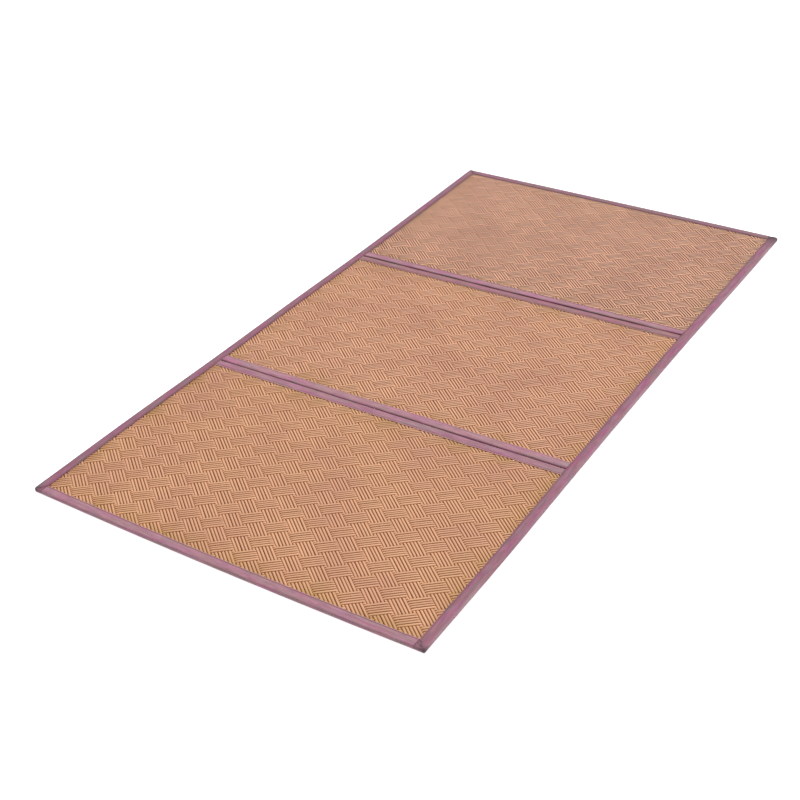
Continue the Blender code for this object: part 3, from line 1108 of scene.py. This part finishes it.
def band(value, middle, width, strength):
    """A soft band, as strong as strength where a value is at the middle, and none a width away."""
    away = math_node("ABSOLUTE", math_node("SUBTRACT", value, middle))
    return carry(away, 0.0, width, strength, 0.0, "SMOOTHSTEP")


def tape_material(name, roll, dyes, strength, edge, edge_strength, lip, lip_strength, seam_strength):
    """Matt cotton. strength is how bright its dye is, which also paints light and shade. Its edge is its
    fold and its lip is its hem; its seam takes painted shade, and its lip and edge take given tones:
    painted light and shade, and a darker grey on some edges."""
    material, tree, shader = new_material(name)
    cloth_place = add_node(tree, "ShaderNodeUVMap", uv_map="cloth").outputs[0]
    plain, red, grey = (toned(dye, strength) for dye in dyes)
    cotton = place_group(tree, COTTON, {
        "Dye": plain, "Red Dye": red, "Grey Dye": grey,
        "Cloth Place": cloth_place, "Roll": roll, "Threads": 2 * math.pi / THREAD_PITCH,
    }).outputs
    round_it = parts_of(cloth_place)["Y"]
    marks = {
        mark: math_node("MULTIPLY", attribute_value(tree, mark), share)
        for mark, share in (("edge", edge_strength), ("crease", CREASE_STRENGTH), ("contact_shade", CONTACT_SHADE_STRENGTH))
    }
    # Painted shade along the stitches' groove.
    seam_mask = band(round_it, SEAM_PLACE, SEAM_SHADE_WIDTH, seam_strength)
    layers = (
        (band(round_it, LIP_PLACE, LIP_WIDTH, lip_strength), toned(lip)),
        (marks["edge"], toned(edge)),
        # The creases and the stitches' groove take a painted shade.
        (math_node("MAXIMUM", marks["crease"], seam_mask), toned(dyes[0], strength * CREVICE_SHADE)),
        (marks["contact_shade"], toned(CONTACT_SHADE_TONE)),
    )
    colour = cotton["Color"]
    for mask, tone in layers:
        colour = blend(mask, colour, tone)
    fill(shader, {
        "Base Color": colour, "Normal": bumps(cotton["Height"], 0.5, 0.0003),
        "Roughness": 0.85, "Specular IOR Level": 0.25, "Sheen Weight": 0.15, "Sheen Roughness": 0.5,
    })
    return material


TAPE_LOOKS = {
    # dyes and how bright, tone and strength of the edge and of the lip, strength of the seam. The
    # brightness also paints shade and light: the back tape and the near fold tapes darker, the far fold
    # tapes lighter.
    "tape_front": (CROSS_DYES, 1.0, GREY_EDGE, 0.3, LIP_HIGHLIGHT, 0.7, 0.45),
    "fold_tape_1_near": (CROSS_DYES, 0.97, EDGE_SHADE, 0.3, LIP_HIGHLIGHT, 0.9, 0.0),
    "fold_tape_1_far": (CROSS_DYES, 1.09, EDGE_SHADE, 0.3, LIP_HIGHLIGHT, 0.8, 0.1),
    "fold_tape_2_near": (WARM_DYES, 0.95, EDGE_SHADE, 0.9, LIP_HIGHLIGHT, 0.7, 0.25),
    "fold_tape_2_far": (CROSS_DYES, 1.06, EDGE_SHADE, 1.0, LIP_HIGHLIGHT, 0.5, 0.35),
    "tape_back": (CROSS_DYES, 0.74, GREY_EDGE, 1.0, LIP_SHADE, 0.2, 0.2),
    "side_tape_left": (SIDE_SHADED_DYES, 0.92, GREY_EDGE, 1.0, LIP_SHADE, 0.35, 0.35),
    "side_tape_right": (SIDE_SHADED_DYES, 1.0, EDGE_SHEEN, 0.6, LIP_SHADE, 0.25, 0.2),
}
ROLL_STEP, SEED_STEP = 3.7, 11.0  # in the noise, from one tape's dye and shape to the next one's

# %% [markdown]
# ## Fold the eight tapes
#
# Six tapes run across the mat: one at each end, and two at each fold, with a slit between them. The
# two long ones run down its sides, past the ends of the others. Each is shaped and marked straight,
# laid on the real mat, and given the thickness of its cloth by Solidify.

# %% Fold the tapes
BUTT = TAPE_WIDTH + BUTT_GAP
TAPES = [(name, X, fold, inward, LEFT + BUTT, RIGHT - BUTT) for name, fold, inward in CROSS_TAPES]
TAPES += [(name, Y, fold, inward, FRONT, BACK) for name, fold, inward in SIDE_TAPES]


def fold_tape(number, name, along, outer, inward, start, end):
    """One finished tape, in place of its solid."""
    radii = CORNER_RADII.get(name, ())
    mesh = shape_tape(along, outer, inward, start, end, radii)
    write_cloth_map(mesh, along, outer, inward)
    tips = TIP_REACHES.get(name, ())
    sculpt_tape(mesh, along, outer, inward, start, end, tips, SEED_STEP * number)
    lay_unevenly(mesh)
    data = to_data(mesh, name + "_cloth")
    finish = tape_material(name + "_cotton", ROLL_STEP * number, *TAPE_LOOKS[name])
    piece = dress(name, data, finish)
    solidify = piece.modifiers.new("cloth", "SOLIDIFY")
    solidify.thickness = CLOTH_THICKNESS
    solidify.offset = -1.0
    solidify.use_even_offset = True
    print(piece.name, "has", len(data.polygons), "faces on its outside")
    return piece


# %% [markdown]
# ## The stitches
#
# One row of lock stitches runs along each tape. A stitch is a short length of thread that rises from
# one hole and dips into the next, so a small ball stretched to a bean is its shape. Each row is one
# mesh, because there are hundreds of stitches and each is the same few faces.

# %% Sew the stitches
STITCH_SPACING = 0.0042
STITCH_LENGTH = 0.0032
THREAD_WIDTH, THREAD_RISE = 0.0008, 0.35  # and how much of it lies above the groove
THREAD_SEGMENTS, THREAD_RINGS = 6, 4
STITCHES_AT_ONCE = 16  # a multiple that can be doubled four times
THREAD_TONE = (0.33, 0.17, 0.215)

thread_finish, thread_tree, thread_shader = new_material("sewing_thread")
thread_twist = noise_value(object_place(thread_tree), 400.0)
thread_colour = blend(thread_twist, toned(THREAD_TONE, 0.75), toned(THREAD_TONE, 1.25))
fill(thread_shader, {"Base Color": thread_colour, "Roughness": 0.6})


def sew_row(name, along, outer, inward, start, end):
    """A row of stitches along a tape, on the tidy rectangle, then laid with it."""
    mesh = bmesh.new()
    bmesh.ops.create_uvsphere(mesh, u_segments=THREAD_SEGMENTS, v_segments=THREAD_RINGS, radius=0.5)
    size = on_tape(along, STITCH_LENGTH, THREAD_WIDTH, THREAD_WIDTH)
    bmesh.ops.scale(mesh, vec=size, verts=mesh.verts)
    stitches = round((end - start) / STITCH_SPACING / STITCHES_AT_ONCE) * STITCHES_AT_ONCE
    step = (end - start) / stitches
    height = MAT_THICKNESS - GROOVE_DEPTH + THREAD_WIDTH * THREAD_RISE
    place = on_tape(along, start + step / 2, outer + inward * SEAM, height)
    bmesh.ops.translate(mesh, verts=mesh.verts, vec=place)
    repeat(mesh, stitches, on_tape(along, step, 0.0, 0.0))
    lay_unevenly(mesh)
    return add_piece(to_data(mesh, name + "_stitches"), thread_finish)


for number, (name, along, outer, inward, start, end) in enumerate(TAPES):
    cloth = fold_tape(number, name, along, outer, inward, start, end)
    stitches = sew_row(name, along, outer, inward, start + STITCH_SPACING, end - STITCH_SPACING)
